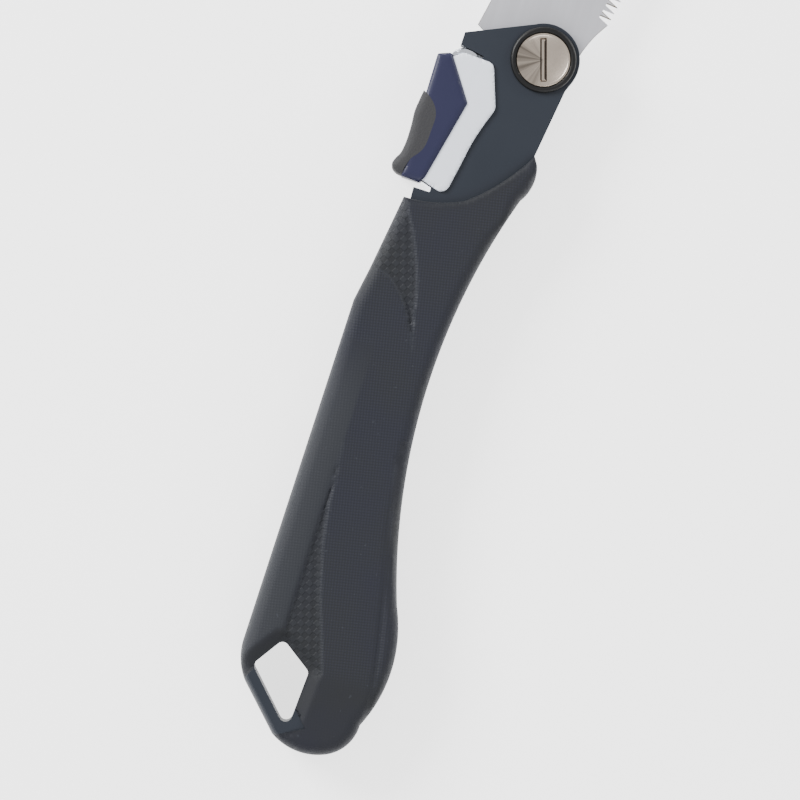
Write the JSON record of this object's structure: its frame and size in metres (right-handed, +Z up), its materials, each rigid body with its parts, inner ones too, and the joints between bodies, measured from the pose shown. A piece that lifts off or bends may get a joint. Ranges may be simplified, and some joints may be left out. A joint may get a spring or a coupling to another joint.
{
  "type": "folding pruning saw",
  "caption": "Folding pull-cut pruning saw: toothed blade on a coin-slot pivot bolt, sprung thumb lever lock, and a soft curved grip with a hanging hole.",
  "frame": {"origin": "bottom centre of the open saw's bounding box, lying on the side of its grip", "axes": "+X from the butt towards the blade's tip, +Y towards the back of the grip and the thumb lever, +Z up through the thickness, along the pivot's axis"},
  "size_m": [0.4966, 0.0976, 0.026],
  "materials": {
    "core_nylon": "satin glass-filled nylon",
    "grip_rubber": "soft textured rubber",
    "blade_steel": "matt ground steel",
    "bolt_nickel": "turned, nickel plated",
    "nut_steel": "zinc plated",
    "sleeve_steel": "ground",
    "washer_brass": "satin",
    "collar_black": "satin",
    "pin_steel": "ground",
    "frame_alloy": "satin",
    "cover_navy": "satin",
    "pad_rubber": "matt",
    "claw_steel": "satin",
    "spring_steel": "drawn wire"
  },
  "bodies": {
    "handle": {"front_shell": "core_nylon", "back_shell": "core_nylon", "grip_overmould": "grip_rubber", "pivot_bolt": "bolt_nickel", "pivot_nut": "nut_steel", "pivot_sleeve": "sleeve_steel", "spring_washer": "nut_steel", "blade_washer_front": "washer_brass", "blade_washer_back": "washer_brass", "bolt_collar": "collar_black", "nut_collar": "collar_black", "stop_pin": "pin_steel", "shell_dowels": "pin_steel", "lever_pin": "pin_steel", "lever_spring": "spring_steel"},
    "blade": {"blade": "blade_steel"},
    "lever": {"lever_frame": "frame_alloy", "thumb_cover": "cover_navy", "thumb_pad": "pad_rubber", "lock_claw": "claw_steel", "claw_rivets": "pin_steel"}
  },
  "joints": [
    {"name": "blade_fold", "type": "hinge", "parent": "handle", "child": "blade", "pos_m": [0.02311, 0.00724, 0.013], "axis": [0, 0, 1], "range_deg": [-172, 0]},
    {"name": "lock_lever", "type": "hinge", "parent": "handle", "child": "lever", "pos_m": [-0.00689, 0.03225, 0.013], "axis": [0, 0, 1], "range_deg": [0, 7.5], "stiffness_Nm_per_rad": 0.5, "springref_deg": -14.32, "deforming": ["lever_spring"]}
  ]
}
